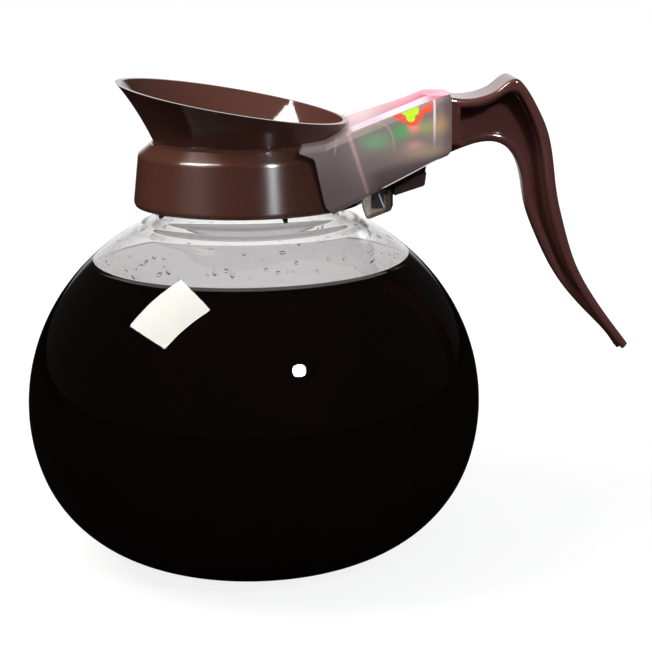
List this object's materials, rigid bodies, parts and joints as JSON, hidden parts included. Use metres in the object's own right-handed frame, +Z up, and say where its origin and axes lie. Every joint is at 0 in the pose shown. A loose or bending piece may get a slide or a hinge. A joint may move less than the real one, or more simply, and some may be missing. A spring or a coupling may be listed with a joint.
{
  "type": "coffee decanter",
  "caption": "Round glass coffee decanter with a flared pouring funnel, a collar, an S-shaped handle and a translucent freshness light module with a latch lever.",
  "frame": {"origin": "centre of the glass bowl's flat base, on the surface that it stands on", "axes": "+Z up along the bowl's axis, +X towards the handle, +Y to the left of someone who holds the handle and looks at the bowl from behind it"},
  "size_m": [0.219, 0.165, 0.1731],
  "materials": {
    "glass": "clear blown glass, polished",
    "brown_plastic": "dark brown moulded plastic, glossy",
    "smoke_plastic": "smoke-tinted translucent plastic, satin",
    "dark_plastic": "dark plastic, matt",
    "steel": "stainless steel",
    "seal_rubber": "silicone rubber",
    "board_green": "circuit board laminate with green mask",
    "red_light": "tinted epoxy",
    "green_light": "tinted epoxy, lit",
    "amber_light": "tinted epoxy",
    "clear_plastic": "clear moulded plastic"
  },
  "bodies": {
    "decanter": {"glass_bowl": "glass", "neck_band": "steel", "band_screw": "steel", "band_nut": "steel", "neck_spacer": "dark_plastic", "collar": "brown_plastic", "rim_gasket": "seal_rubber", "pouring_funnel": "brown_plastic", "handle": "brown_plastic", "module_housing": "smoke_plastic", "module_base": "smoke_plastic", "base_seal": "seal_rubber", "base_screws": "steel", "circuit_board": "board_green", "board_screws": "steel", "led_red": "red_light", "led_green": "green_light", "led_amber": "amber_light", "light_guide": "clear_plastic", "timer_chip": "dark_plastic", "button_cells": "steel", "cell_clips": "steel", "heat_sensor": "dark_plastic", "sensor_leads": "dark_plastic", "lever_pin": "steel", "lever_spring": "steel"},
    "lever": {"latch_lever": "brown_plastic"}
  },
  "joints": [
    {"name": "latch_hinge", "type": "hinge", "parent": "decanter", "child": "lever", "pos_m": [0.0486, 0, 0.132], "axis": [0, 1, 0], "range_deg": [0, 12], "stiffness_Nm_per_rad": 0.05, "springref_deg": -20.05, "deforming": ["lever_spring"]}
  ]
}
